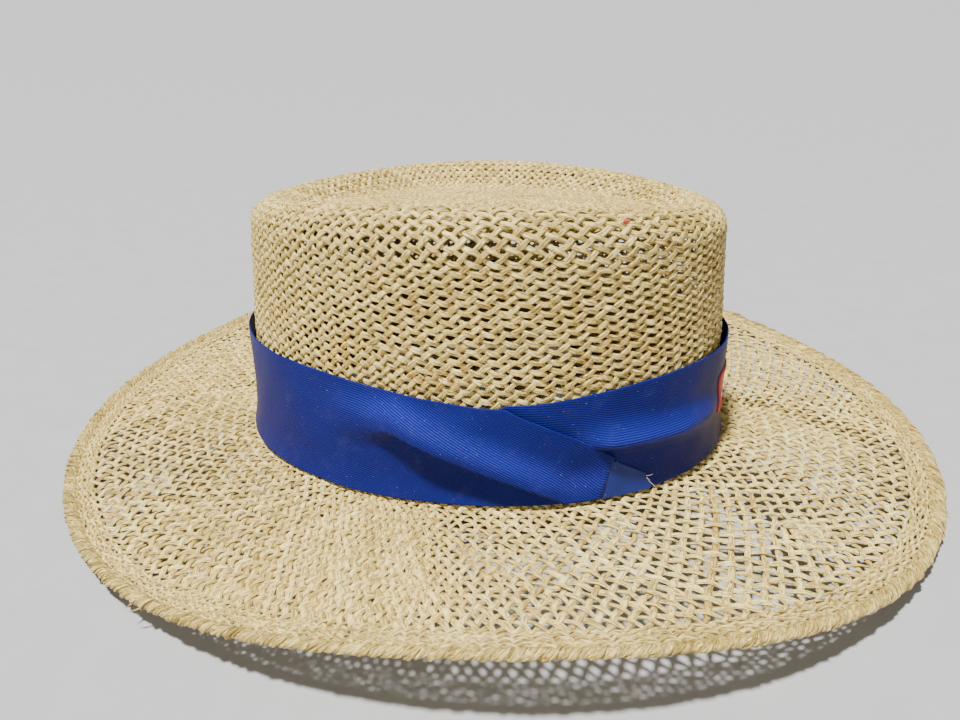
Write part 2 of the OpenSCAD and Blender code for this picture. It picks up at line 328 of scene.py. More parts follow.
# Between the crossings of a row
STRAND_STEP = [2.3, 3.6, 4.1, 5.9, 5.5, 4.5, 4.15, 4.5, 4.6, 5.0]
# Width and thickness of the strands
WIDTHS = [1.5, 1.8, 1.9, 1.95, 2.0, 2.0, 2.05, 2.25, 1.35, 1.2]
THICKS = [0.9, 0.95, 1.05, 1.1, 1.1, 1.0, 0.98, 1.0, 0.75, 0.7]
# How far crossings stray
WOBBLE = [0.08, 0.12, 0.16, 0.18, 0.18, 0.2, 0.26, 0.26, 0.24, 0.22]
PRESSED = 0.35         # how far the ribbon presses the straw in
ROLL_SPREAD, ROLL_SWING = 0.16, 0.16   # how far strands are turned over, and how much that varies
STRAND_SWELL, SWELL_SWING, SWELL_REPEAT = 0.05, 0.06, 0.9  # how widths differ, and swing along a strand
ROLL_REPEAT = 0.7
FLATTEN = 0.16         # how much flatter one family of strands lies than the other on the wall
FLATTEN_V, FLATTEN_SHARE = [SLOPE_V, SHOULDER_V, BREAK_V - 10, BREAK_V + 5], [0.3, 1, 1, 0]
LEAN_STEP = 0.12       # how far the weave on the wall drifts round for each millimetre down


def weave_rows(rng):
    """Crossings of the weave, row by row from the middle of the tip to the edge.

    Each crossing joins one strand that runs round to the left as it goes out and one that runs to
    the right. Where the hat widens, a new pair of strands starts under an older crossing. A row is
    its level, the turns of its crossings, and the numbers of the strands of both families there.
    """
    v, turns = FIRST_V, np.arange(FIRST_STRANDS) / FIRST_STRANDS
    right, left = np.arange(FIRST_STRANDS), np.arange(FIRST_STRANDS)
    made = FIRST_STRANDS
    rows = []
    while v < EDGE_V - 1:
        rows.append((v, turns.copy(), (right, left)))
        step = np.interp(v, SPACING_V, ROW_STEP)
        v += step
        around = girth(v)
        drift = LEAN_STEP * step / around if SLOPE_V < v < BREAK_V else 0
        wanted = int(round(around / np.interp(v, SPACING_V, STRAND_STEP)))
        extra = min(max(wanted - len(turns), 0), len(turns))
        middle = (turns + np.append(turns[1:], turns[0] + 1)) / 2
        left = np.append(left[1:], left[0])
        if extra:
            slots = (np.arange(extra) + rng.random(extra)) * len(turns) / extra
            under = np.unique(slots.astype(int))
            fresh = made + np.arange(len(under))
            made += len(under)
            middle = np.insert(middle, under, turns[under])
            right, left = np.insert(right, under, fresh), np.insert(left, under, fresh)
        turns = middle + drift
        for _ in range(3):
            before = np.append(turns[-1] - 1, turns[:-1])
            after = np.append(turns[1:], turns[0] + 1)
            turns = turns / 2 + (before + after) / 4
    return rows


def strand_table(rows, family, rng):
    """Every strand's crossings in order: strand number, row number, level and turns, with wobble."""
    number = np.concatenate([row[2][family] for row in rows])
    index = np.concatenate([np.full(len(row[1]), k) for k, row in enumerate(rows)])
    level = np.concatenate([np.full(len(row[1]), row[0]) for row in rows])
    turns = np.concatenate([row[1] for row in rows])
    stray = rng.normal(0, 1, (2, len(turns))).clip(-2, 2) * np.interp(level, SPACING_V, WOBBLE)
    order = np.lexsort((index, number))
    number, index = number[order], index[order]
    turns = (turns + stray[0] / girth(level))[order]
    level = (level + stray[1])[order]
    same = np.append(False, number[1:] == number[:-1])
    jump = np.where(same, np.round(np.diff(turns, prepend=turns[0])), 0)
    return number, index, level, turns - np.cumsum(jump)


def smooth_through(values, i, f, first, last):
    """Values between crossings i and i + 1 of a strand, on a smooth curve through its crossings."""
    a = values[np.maximum(i - 1, first)]
    b = values[i]
    c = values[np.minimum(i + 1, last)]
    d = values[np.minimum(i + 2, last)]
    return b + f / 2 * (c - a + f * (2 * a - 5 * b + 4 * c - d + f * (3 * (b - c) + d - a)))


def strand_sections(table, family, low, high):
    """Sections of one family's strands between two rows, strand by strand from the middle outwards.

    Gives each section's level and turns, its place in the wave over and under the other family, its
    strand's number, and whether it is the strand's first.
    """
    index = table[1]
    keep = (index >= low) & (index <= high)
    number, index, level, turns = (column[keep] for column in table)
    start = np.append(True, number[1:] != number[:-1])
    ends = np.append(start[1:], True)
    group = np.cumsum(start) - 1
    first, last = np.nonzero(start)[0][group], np.nonzero(ends)[0][group]
    i = np.concatenate([np.repeat(np.nonzero(~ends)[0], SAMPLES), np.nonzero(ends)[0]])
    f = np.concatenate([np.tile(np.arange(SAMPLES) / SAMPLES, (~ends).sum()), np.zeros(ends.sum())])
    order = np.lexsort((f, i))
    i, f = i[order], f[order]
    v = smooth_through(level, i, f, first[i], last[i])
    around = smooth_through(turns, i, f, first[i], last[i])
    phase = math.pi * (index[i] + f)
    sheared = np.interp(v, FLATTEN_V, FLATTEN_SHARE)
    step = np.interp(v, SPACING_V, ROW_STEP)
    v = v - FLATTEN * sheared * step * np.sin(phase)
    wave = np.cos(phase) * (1 if family == 0 else -1)
    return v, around, wave, number[i], start[i] & (f == 0) & (i == first[i])


def weave_area(name, node, rows, tables, inner, outer, material):
    """The strands between two levels, as pieces small enough to keep every face."""
    levels = np.array([row[0] for row in rows])
    found = []
    for family, table in enumerate(tables):
        # A strand begins and ends at a crossing where it lies under the other one
        low, high = (int(np.searchsorted(levels, edge)) for edge in (inner, outer))
        low += (low + family + 1) % 2 if low > 0 else 0
        high = min(high + (high + family + 1) % 2, len(rows) - 1)
        found.append(strand_sections(table, family, low, high))
    v, around, wave, number, start = (np.concatenate(column) for column in zip(*found))
    sections = MAX_TRIANGLES // (2 * STRAND_SIDES)
    strand = np.cumsum(start) - 1
    piece_of_strand = np.bincount(strand).cumsum() // sections
    for k in range(piece_of_strand[-1] + 1):
        mine = piece_of_strand[strand] == k
        weave_piece(f"{name}_{k + 1}", node, v[mine], around[mine], wave[mine],
                    number[mine], start[mine], material)


def weave_piece(name, node, v, around, wave, number, start, material):
    """One piece of straw: each strand swells, rolls over and differs in tone in its own way."""
    t = angle_at(v, around)
    normal = hat_normal(v, t)
    rng = np.random.default_rng(SEED + number.max())
    strand = np.cumsum(start) - 1
    own = rng.normal(0, 1, (4, strand[-1] + 1)).clip(-2, 2)
    swell = SWELL_SWING * np.sin(v * SWELL_REPEAT + 9 * own[1][strand])
    swell = 1 + STRAND_SWELL * own[0][strand] + swell
    width = np.interp(v, SPACING_V, WIDTHS) * swell * (1 + 0.08 * wave)
    thick = np.interp(v, SPACING_V, THICKS)
    pressed = 0.1 + PRESSED * smooth_step(v, BREAK_V - RIBBON_H - 3, BREAK_V - RIBBON_H) * (v < BREAK_V)
    centres = hat_point(v, t) + normal * (thick * (0.48 * wave - 0.5) - pressed)[:, None]
    thick = thick * (1 + 0.07 * own[2][strand])
    roll = ROLL_SPREAD * own[1][strand] + ROLL_SWING * np.sin(v * ROLL_REPEAT + 7 * own[0][strand])
    points, quads, attributes = tubes(centres, normal, start, width, thick, own[3][strand], roll)
    make_piece(name, points, quads, material, [node], attributes, creased=True)


def build_weave(material):
    rng = np.random.default_rng(SEED)
    rows = weave_rows(rng)
    tables = [strand_table(rows, family, rng) for family in (0, 1)]
    areas = (("tip_weave", "crown_tip", 0, SHOULDER_V),
             ("wall_weave", "crown_wall", SHOULDER_V, BREAK_V),
             ("brim_weave", "brim", BREAK_V, BORDER_V),
             ("border_weave", "brim_border", BORDER_V, EDGE_V))
    for name, node, inner, outer in areas:
        weave_area(name, node, rows, tables, inner, outer, material)


# ---- The rolled edge ----

ROLL_OUT, ROLL_DROP = 0.5, 0.9         # how far the roll's middle lies out from the edge line and below it
ROLL_A, ROLL_B = 2.9, 2.15             # half its width along the brim, and half its thickness
ROLL_SLIM = 0.28                       # how much slimmer it is along the raised sides
WRAP_STEP = 3.3                        # from one bundle of the overcast to the next
WRAP_STRANDS = 4                       # strands in a bundle
WRAP_W, WRAP_T = 1.0, 0.6
WRAP_FROM, WRAP_TO = math.radians(190), math.radians(-150)
PINCH_TOP, PINCH_LOW = math.radians(125), math.radians(-85)    # where the bundles are narrowest
LEAN_OVER, LEAN_UNDER = 7.5, 3.0       # how far a bundle leans between these, and back under the edge
SCALLOP = 0.7                          # how much prouder the middle of a bundle is than its sides
CORE_STRANDS, CORE_IN, CORE_W = 7, 1.2, 1.7
CORE_TURNS = 30                        # turns of the twisted core in the whole edge


def edge_angle(turns, shift=0):
    """Angle t on the edge at a share of the way round it, moved along by a shift in millimetres."""
    return angle_at(np.full_like(turns, EDGE_V), turns + shift / girth(EDGE_V))


def edge_axes(t):
    """Directions out along the brim and up off it, where it meets the roll."""
    v = np.full_like(t, EDGE_V)
    out = unit(brim_point(v, t) - brim_point(v - 4, t))
    return out, unit(np.array([0, 0, 1.0]) - out * out[..., 2:])


def round_the_edge(grow, f, t):
    """On the roll's oval, grown by a distance: f is 0 straight out and a right angle straight up."""
    out, up = edge_axes(t)
    slim = 1 - ROLL_SLIM * np.sin(t) ** 2
    p = edge_point(t) + out * (ROLL_OUT + (ROLL_A * slim + grow) * np.cos(f))[..., None]
    p[..., 2] -= ROLL_DROP * slim ** 2
    return p + up * ((ROLL_B * slim + grow) * np.sin(f))[..., None]


def edge_lift(f, t):
    """Direction off the roll's surface."""
    out, up = edge_axes(t)
    return unit(out * (ROLL_B * np.cos(f))[..., None] + up * (ROLL_A * np.sin(f))[..., None])


def build_overcast(rng, material):
    """Bundles of straw that bind the edge all the way round."""
    count = int(girth(EDGE_V) / WRAP_STEP)
    f = np.linspace(WRAP_FROM, WRAP_TO, 19)
    above = np.clip((f - PINCH_LOW) / (PINCH_TOP - PINCH_LOW), 0, 1)
    below = np.clip((PINCH_LOW - f) / (PINCH_LOW - WRAP_TO), 0, 1)
    open_out = np.sin(np.pi * above) ** 0.7
    strand = ((np.arange(WRAP_STRANDS) - (WRAP_STRANDS - 1) / 2) / WRAP_STRANDS)[:, None]
    bundle = rng.normal(0, 1, (4, count, 1, 1)).clip(-2, 2)
    own = rng.normal(0, 1, (5, count, WRAP_STRANDS, 1)).clip(-2, 2)
    weave = np.sin(5 * f + 5 * own[3])
    lean = (LEAN_OVER * above + LEAN_UNDER * below) * (1 + 0.16 * bundle[0])
    shift = lean + strand * (0.7 + 2.9 * open_out) + 0.45 * bundle[1] + 0.2 * own[0] + 0.2 * weave
    t = edge_angle(np.arange(count)[:, None, None] / count, shift)
    proud = SCALLOP * (1 - 5 * strand ** 2) * (1 + 0.3 * bundle[2]) + 0.12 * own[1] + 0.1 * weave
    grow = -WRAP_T / 2 - 0.3 + proud * open_out
    centres = round_the_edge(grow, f, t)
    centres[..., 2] = np.maximum(centres[..., 2], WRAP_W / 2)
    width = WRAP_W * (0.75 + 0.25 * open_out) * (1 + 0.2 * own[2] + 0.1 * bundle[3])
    tone = 0.8 * own[3] + 0.8 * bundle[3]
    roll = 0.5 * own[4] + 0.3 * weave
    lifts = edge_lift(f, t)
    for k, part in enumerate(np.array_split(np.arange(count), 2)):
        tube_piece(f"edge_overcast_{k + 1}", centres[part], lifts[part], width[part], WRAP_T,
                   tone[part], material, ["rolled_edge"], roll[part], creased=True)


def build_edge_core(rng, material):
    """Twisted straw inside the overcast bundles, round the edge wire."""
    sections = np.linspace(0, 1, 720)
    turn = np.arange(CORE_STRANDS)[:, None] * 2 * math.pi / CORE_STRANDS + sections * CORE_TURNS * 2 * math.pi
    t = edge_angle(sections)
    tube_piece("edge_core", round_the_edge(-CORE_IN, turn, t), edge_lift(turn, t),
               CORE_W, CORE_W * 0.94, rng.normal(0, 1, CORE_STRANDS)[:, None], material,
               ["rolled_edge"])


# ---- Loose fibres ----

FIBRE_COUNT = 420
FIBRE_W = 0.22
FIBRE_SHORT, FIBRE_LONG = 1.5, 4.5
FIBRE_GAP, FIBRE_RISE = 0.2, 0.28      # how far a fibre starts off the surface, and how steeply it lifts
TUFTS = ((-125.2, 3, 4.5), (-19, 4, 3.0))      # angle, how many straw ends stick out and how far
TUFT_ROOT, TUFT_LOW = 0.6, -0.5        # how deep in the roll they start, and at what angle on its section
TUFT_STOUT = 3         # times the width of a loose fibre
FLECK_AT, FLECK_LEN = (-55.5, WALL_V - 11), 2.6     # red fibre caught in the shoulder
FLECK_STOUT, FLECK_RISE = 5, 0.2       # it is wider than a loose fibre, and lies flatter


def add_fibres(name, start, heading, lifts, length, curl, material, nodes, rng, stout=1):
    """Thin fibres that leave a surface along it and lift away in a curve."""
    s = np.linspace(0, 1, 7)[None, :, None]
    reach = length[:, None, None] * s
    side = np.cross(lifts, heading)
    bend = curl[:, None, None] * s ** 2 * length[:, None, None]
    rise = FIBRE_GAP + FIBRE_RISE * reach * s
    lines = start[:, None] + heading[:, None] * reach + side[:, None] * bend + lifts[:, None] * rise
    taper = np.interp(s[0, :, 0], [0, 0.7, 1], [1, 0.9, 0.3])
    width = FIBRE_W * stout * rng.uniform(0.7, 1.4, len(lines))[:, None] * taper
    tone = rng.normal(0.5, 0.6, len(lines))[:, None]
    tube_piece(name, lines, lifts[:, None], width, width * 0.7, tone, material, nodes)


def build_loose_fibres(rng, material):
    """Broken fibres that stand up from the weave."""
    v = rng.uniform(SLOPE_V, BORDER_V, FIBRE_COUNT)
    t = rng.uniform(0, 2 * math.pi, FIBRE_COUNT)
    start, lifts = hat_point(v, t), hat_normal(v, t)
    across = unit(hat_point(v, t + 0.01) - start)
    down = np.cross(across, lifts)
    way = rng.choice([-1, 1], FIBRE_COUNT) * rng.normal(1.0, 0.25, FIBRE_COUNT)
    heading = unit(across * np.cos(way)[:, None] + down * np.sin(way)[:, None])
    length = rng.uniform(FIBRE_SHORT, FIBRE_LONG, FIBRE_COUNT)
    curl = rng.normal(0, 0.35, FIBRE_COUNT)
    add_fibres("loose_fibres", start, heading, lifts, length, curl, material,
               ["crown_wall", "brim"], rng)


def build_tufts(rng, material):
    """Straw ends that stick out of the edge."""
    t = np.concatenate([np.radians(at) + rng.normal(0, 0.008, number) for at, number, _ in TUFTS])
    reach = np.concatenate([np.full(number, far) for _, number, far in TUFTS])
    start = round_the_edge(-TUFT_ROOT, TUFT_LOW, t)
    along = unit(edge_point(t + 0.01) - edge_point(t))
    heading = unit(outward(t) + along * rng.normal(0, 0.6, len(t))[:, None] + [0, 0, -0.5])
    lifts = np.cross(heading, along)
    length = rng.uniform(0.5, 1.0, len(t)) * reach
    curl = rng.normal(0, 0.3, len(t))
    add_fibres("edge_tufts", start, heading, lifts, length, curl, material,
               ["rolled_edge"], rng, TUFT_STOUT)


def build_fleck(rng, material):
    """A red fibre caught in the shoulder's straw."""
    t, v = np.radians([FLECK_AT[0]]), np.array([FLECK_AT[1]])
    start, lifts = hat_point(v, t), hat_normal(v, t)
    heading = unit(hat_point(v, t + 0.01) - start)
    length, curl = np.array([FLECK_LEN]), np.array([0.3])
    add_fibres("red_fleck", start + lifts * 0.1, heading, lifts * FLECK_RISE, length, curl, material,
               [], rng, FLECK_STOUT)


# ---- Cloth on the crown's wall ----
# Heights are in millimetres from the break, stand-offs from the straw's outer face, angles in degrees.

TWILL_T = 0.6          # one layer of the ribbon
RIBBON_SLACK = 0.3     # how loosely the ribbon lies on the straw
TOP_FLARE = 2.4        # how far the ribbon's upper edge stands off at the front and back
FOOT_FLARE = 1.5       # how far its lower edge is pushed out by the bend of the brim
TOP_H, TOP_DIP, DIP_AT, DIP_REACH = 46.5, 6.3, -82, 25     # the ribbon's top dips where it is tacked
WRAP_START = -112      # the end that lies under the lap
COVERED = (-84.5, -81)     # between these angles the wrap comes out from under the lap
COVERED_LOW, COVERED_TOP = 0.4, 2      # how much its edges are drawn in before that
ROLL, ROLL_H, ROLL_FALL = 4.6, 23.5, 0.06      # the soft roll that the tack pulls into the wrap
LAP_START, LAP_END = -174, -59.3
CROSS_AT = -82         # where the lap's edge leaves the top of the ribbon
FOLD_TOP, FOLD_LEAN = 17.7, 0.236      # upper corner of the folded end, and how much its edge leans
CREASE_AT, CREASE_H, CREASE_DROP = -100.8, 26.8, 0.776     # line of the lip of the pleat
CURL_R, FOLD_TUCK = 1.1, 1.6           # radius of the folded end, and how far the cloth under it is drawn in
LIP_W = 0.9            # height that the cloth takes to step out at the lip
PLEAT_BULGE = 3.5      # how far the cloth stands out above the lip
CREST_TOP = 29         # height at which the bulge dies away towards the back
RIB_DROP = 0.62        # how steeply the ribs run down where the lap crosses over
LAP_COLUMNS, CURL_STEPS = 150, [25, 50, 75, 90]     # sections of the lap, and turns of its folded end
TAIL_TIP_LOW, TAIL_TIP_TOP = (-49.7, 1.5), (-50.7, 7.6)    # angle and height of the tail's end
TAIL_GAP = 0.35        # between the tail and the wrap under it


def on_wall(h, d, t):
    """A point on the crown's wall: its height, how far out it stands, and its angle in degrees."""
    return leaned(wall_point(h, d, np.radians(t)))


def degrees_for(length, t):
    """The angle that a length takes up round the wall at angle t."""
    step = on_wall(0, 0, t + 0.5) - on_wall(0, 0, t - 0.5)
    return length / np.linalg.norm(step, axis=-1)


def wall_outward(h, t):
    return unit(on_wall(h, 1, t) - on_wall(h, 0, t))


def edged(count, share):
    """Places from 0 to 1 for a cloth's grid, with a close pair at each end for its rounded edge."""
    return np.concatenate([[0, share / 2], np.linspace(share, 1 - share, count), [1 - share / 2, 1]])


def way_along(points, axis):
    """How far each point of a grid is from the grid's first row or column."""
    steps = np.linalg.norm(np.diff(points, axis=axis), axis=-1)
    start = np.zeros_like(np.take(steps, [0], axis=axis))
    return np.concatenate([start, np.cumsum(steps, axis=axis)], axis=axis)


def cloth(name, middle, thick, material, nodes, across=None, painted_highlight=0.0):
    """A closed sheet with rounded edges, from a grid of points on its middle surface.

    Its cloth attribute holds the millimetres along and across the sheet, and 1 on its face or -1 on
    its back. Ribs in the cloth run where the distance across, which can be given, is the same.
    Its other attribute is 1 where the cloth stands proud, and there the material paints its ribs brighter as
    a painted highlight.
    """
    rows, columns = middle.shape[:2]
    normal = unit(np.cross(np.gradient(middle, axis=0), np.gradient(middle, axis=1)))
    row, column = np.arange(rows), np.arange(columns)
    near = np.minimum(np.minimum(row, row[::-1])[:, None], np.minimum(column, column[::-1]))
    half = (thick / 2 * np.interp(near, [0, 1, 2], [0.35, 0.85, 1]))[..., None]
    points = np.concatenate([middle + normal * half, middle - normal * half]).reshape(-1, 3)
    index = np.arange(rows * columns).reshape(rows, columns)
    face = np.stack([index[:-1, :-1], index[1:, :-1], index[1:, 1:], index[:-1, 1:]], -1).reshape(-1, 4)
    rim = np.concatenate([index[0, :-1], index[:-1, -1], index[-1, :0:-1], index[:0:-1, 0]])
    after, back = np.roll(rim, -1), rows * columns
    sides = np.stack([rim, after, after + back, rim + back], -1)
    quads = np.concatenate([face, face[:, ::-1] + back, sides])
    along = way_along(middle, 0)[:, [columns // 2]] + np.zeros(columns)
    across = way_along(middle, 1) if across is None else across
    spot = np.stack([along.ravel(), across.ravel()], -1)
    both = np.concatenate([np.insert(spot, 2, 1, axis=1), np.insert(spot, 2, -1, axis=1)])
    # Painted highlight: 1 where the cloth stands proud, the same on its face and back.
    wear_and_painted_highlight = np.tile((painted_highlight + 0 * along).ravel(), 2)
    return make_piece(name, points, quads, material, nodes, {"cloth": both, "painted_highlight": wear_and_painted_highlight})


def ribbon_top(t):
    return TOP_H - TOP_DIP * np.exp(-((t - DIP_AT) / DIP_REACH) ** 2)


def ribbon_seat(h, t):
    """How far a ribbon's middle stands out where it lies on the straw, flaring towards the brim."""
    turn = np.radians(t)
    ripple = 0.1 * np.sin(12 * turn + 0.13 * h) + 0.07 * np.sin(27 * turn - 0.2 * h)
    swell = 0.12 * np.sin(5 * turn)
    top = TOP_FLARE * smooth_step(h, 20, 48) * np.cos(turn) ** 4
    foot = FOOT_FLARE * np.clip(1 - h / 14, 0, 1) ** 2
    return CLOTH_GAP + TWILL_T / 2 + RIBBON_SLACK + ripple + swell + top + foot


def wrap_roll(h, t):
    """How much of the roll there is at a point of the wrap: 1 is all of it."""
    roll = smooth_step(t, -69, -59) * (1 - smooth_step(t, -46, -6))
    crest = ROLL_H - ROLL_FALL * (t - LAP_END)
    above = np.exp(-((h - crest) / 5.5) ** 2)
    below = np.exp(-((h - crest) / (2.8 + 0.06 * (t - LAP_END))) ** 2)
    return roll * np.where(h > crest, above, below)


def wrap_out(h, t):
    return ribbon_seat(h, t) + ROLL * wrap_roll(h, t)


def build_wrap(material):
    """The ribbon from under the lap, round the front, the left side and the back."""
    t = np.interp(edged(320, 0.0006), [0, 1], [WRAP_START, LAP_START + 360])[:, None]
    hidden = 1 - smooth_step(t, *COVERED)
    low, top = RIBBON_LOW + COVERED_LOW * hidden, ribbon_top(t) - COVERED_TOP * hidden
    h = low + (top - low) * edged(52, 0.006)
    # Along the crest of the soft roll the ribs carry a painted highlight.
    piece = cloth("ribbon_wrap_cloth", on_wall(h, wrap_out(h, t), t), TWILL_T, material,
                  ["ribbon_wrap"], painted_highlight=wrap_roll(h, t) ** 2)


def lap_top(t):
    """Upper edge of the lap: along the ribbon's top, then straight down to the folded end."""
    straight = FOLD_TOP + (ribbon_top(CROSS_AT) - FOLD_TOP) * (LAP_END - t) / (LAP_END - CROSS_AT)
    return np.minimum(ribbon_top(t), straight)


def lap_section(t):
    """Section of the lap at each angle: height, stand-off, whether it is above the lip, and a painted
    highlight along the crest above the lip.

    Towards the back the lip of the pleat grows blunt and dies away.
    """
    low, top = RIBBON_LOW + 0 * t, lap_top(t)
    lip = np.clip(CREASE_H - CREASE_DROP * (t - CREASE_AT), low + 0.2, CREST_TOP)
    stops = np.concatenate([[0, 0.006], np.linspace(0.012, 1, 36)])
    h = np.concatenate([low + (lip - low) * stops, lip + LIP_W * np.linspace(0.1, 0.9, 9),
                        lip + LIP_W + (top - lip - LIP_W) * (1 - stops[::-1])], axis=1)
    # The cloth above the lip stands out by its folded layers, less along the top, and bulges
    folded = smooth_step(t, -112, -97)
    raised = (1.3 - 0.6 * smooth_step(t, -80, -64)) * folded
    at_top = raised * smooth_step(t, -96, -80)
    outer = at_top + (raised - at_top) * smooth_step(top - h, 0, 9)
    bulge = PLEAT_BULGE * smooth_step(t, -124, -98) * (1 - 0.85 * smooth_step(t, -80, -62))
    outer = outer + bulge * np.exp(-(np.maximum(h - lip - 3, 0) / 7) ** 2)
    face = smooth_step(h, lip + LIP_W - (LIP_W + 11 * (1 - folded)), lip + LIP_W)
    # Where the wrap's end lies underneath, the whole lap stands off by that too
    over_wrap = (TWILL_T + 0.15) * smooth_step(t, -124, -112)
    over_wrap = over_wrap + 0.7 * smooth_step(h, 10, 26) * smooth_step(t, -110, -96)
    # Painted highlight along the pleat's crest, some 8 mm above the lip.
    painted_highlight = smooth_step(t, -126, -104) * np.exp(-((h - lip - 8) / 5.5) ** 2)
    return h, ribbon_seat(h, t) + over_wrap + outer * face, face, painted_highlight


def build_lap(material):
    """The ribbon's end: it comes round from the back, pleats, crosses over and is folded under."""
    curl = np.radians([0] * LAP_COLUMNS + CURL_STEPS)[:, None]
    t = np.linspace(LAP_START, LAP_END, LAP_COLUMNS)
    t = np.append(t, [LAP_END] * len(CURL_STEPS))[:, None]
    h, d, face, painted_highlight = lap_section(t)
    near_end = smooth_step(t, -80, LAP_END)
    tuck = degrees_for(CURL_R, LAP_END) * np.sin(curl) * face
    tuck = tuck - FOLD_TUCK * (1 - face) * smooth_step(t, -66, LAP_END)
    angle = t - FOLD_LEAN * (FOLD_TOP - h) * near_end + tuck
    d = d - CURL_R * (1 - np.cos(curl)) * face
    turned = np.cumsum(np.gradient(t, axis=0) / degrees_for(1, t) * smooth_step(t, -118, -98), axis=0)
    piece = cloth("ribbon_lap_cloth", on_wall(h, d, angle), TWILL_T, material,
                  ["ribbon_lap"], h + RIB_DROP * turned, painted_highlight)


def build_tail(material):
    """The cut end of the ribbon, which comes out from under the fold and is tacked down."""
    s, q = edged(24, 0.012)[:, None], edged(24, 0.015)
    start = LAP_END - FOLD_TUCK
    low_t = start - FOLD_LEAN * FOLD_TOP + (TAIL_TIP_LOW[0] - start + FOLD_LEAN * FOLD_TOP) * s
    top_t = start + (TAIL_TIP_TOP[0] - start) * s
    low_h = RIBBON_LOW + (TAIL_TIP_LOW[1] - RIBBON_LOW) * s
    top_h = FOLD_TOP - 0.4 + (TAIL_TIP_TOP[1] - FOLD_TOP + 0.4) * s ** 1.1
    t, h = low_t + (top_t - low_t) * q, low_h + (top_h - low_h) * q
    d = wrap_out(h, t) + TWILL_T + TAIL_GAP + 0.5 * np.sin(np.pi * q) * (1 - s)
    piece = cloth("ribbon_tail_cloth", on_wall(h, d, t), TWILL_T * 0.8, material,
                  ["ribbon_tail"])


# ---- Thread ----

# Angle and height of both ends of each loose bit of white thread at the tail
TACK_ENDS = ((-50.9, 6.6, -49.3, 6.9), (-50.8, 5.9, -50.2, 4.6), (-50.3, 4.3, -48.9, 1.7))
TWIST = 1.7            # length of one turn of the two plies


def thread_piece(name, paths, lifts, nodes, material, radius):
    """Two-ply twisted thread along every path, all in one piece."""
    along = unit(np.gradient(paths, axis=1))
    up = unit(lifts - along * (lifts * along).sum(-1, keepdims=True))
    side = np.cross(up, along)
    turn = 2 * math.pi * way_along(paths, 1) / TWIST
    plies = [side * np.cos(turn + start)[..., None] + up * np.sin(turn + start)[..., None]
             for start in (0, math.pi)]
    centres = np.concatenate([paths + radius / 2 * ply for ply in plies])
    size = radius * 1.15
    return tube_piece(name, centres, np.concatenate([up, up]), size, size, 0, material, nodes)


def stitch_paths(t, h, d, length, slope=0.0, rise=0.25):
    """Stitches that lie on the wall, each with its ends pulled into the cloth: paths and lifts."""
    u = np.linspace(-0.5, 0.5, 13)
    t, h = np.asarray(t, float)[:, None], np.asarray(h, float)[:, None]
    angle = t + degrees_for(length, t) * u * math.cos(slope)
    height = h + length * u * math.sin(slope)
    out = d + rise * (2 * np.sqrt(np.clip(np.cos(np.pi * u), 0, 1)) - 1)
    return on_wall(height, out, angle), wall_outward(height, angle)


def build_tacks(white, blue):
    """Tacks that hold the ribbon to the straw, and the white one with loose ends at the tail."""
    low = (np.array([-20, 40, 90, 140]), RIBBON_LOW + 1.5)
    high = (np.array([15, 65, 115, 165]), RIBBON_H - 1.0)
    found = [stitch_paths(t, h + 0 * t, ribbon_seat(h, t)[:, None] + TWILL_T / 2 + 0.05, 2.2)
             for t, h in (low, high)]
    paths, lifts = (np.concatenate(group) for group in zip(*found))
    thread_piece("ribbon_tacks_blue", paths, lifts, ["ribbon_tacks"], blue, 0.22)

    k = np.arange(7)
    t = LAP_END + 1.6 - FOLD_LEAN * (FOLD_TOP - 2.6 - 2.1 * k)
    h = 2.6 + 2.1 * k
    d = (wrap_out(h, t) + 1.5 * TWILL_T + TAIL_GAP)[:, None]
    paths, lifts = stitch_paths(t, h, d, 1.3, math.radians(76), 0.12)
    thread_piece("tail_stitches", paths, lifts, ["ribbon_tacks"], blue, 0.16)

    u = np.linspace(0, 1, 21)
    found = []
    for t0, h0, t1, h1 in TACK_ENDS:
        angle, height = t0 + (t1 - t0) * u, h0 + (h1 - h0) * u
        out = wrap_out(height, angle) + 1.4 * TWILL_T + TAIL_GAP + 0.5 * np.sin(2.2 * u)
        found.append((on_wall(height, out, angle), wall_outward(height, angle)))
    paths, lifts = (np.stack(group) for group in zip(*found))
    thread_piece("tail_tack", paths, lifts, ["ribbon_tacks"], white, 0.1)


# ---- Badge ----

BADGE_ROUND = 2.5      # radius of the badge's corners
BORDER_STEP, BORDER_STITCH = 0.62, 1.9


def badge_outline(step):
    """Even steps along the badge's rounded outline, from its lower left: place and outward direction."""
    long, high, bend = BADGE_W - 2 * BADGE_ROUND, BADGE_H - 2 * BADGE_ROUND, math.pi / 2 * BADGE_ROUND
    stops = np.cumsum([0, long, bend, high, bend, long, bend, high, bend])
    at = np.linspace(0, stops[-1], int(stops[-1] / step), endpoint=False)
    x = np.interp(at, stops, [-1, 1, 1, 1, 1, -1, -1, -1, -1]) * long / 2
    y = np.interp(at, stops, [-1, -1, -1, 1, 1, 1, 1, -1, -1]) * high / 2
    a = np.interp(at, stops, np.radians([-90, -90, 0, 0, 90, 90, 180, 180, 270]))
    return [line[:, None] for line in (x + BADGE_ROUND * np.cos(a), y + BADGE_ROUND * np.sin(a), a)]


def on_badge(x, y, d):
    """A point on the badge: x along it from its middle, y up from its middle, d above the ribbon."""
    h = BADGE_MID + y
    t = degrees_for(x, 0 * x)
    return on_wall(h, wrap_out(h, t) + TWILL_T / 2 + d, t)


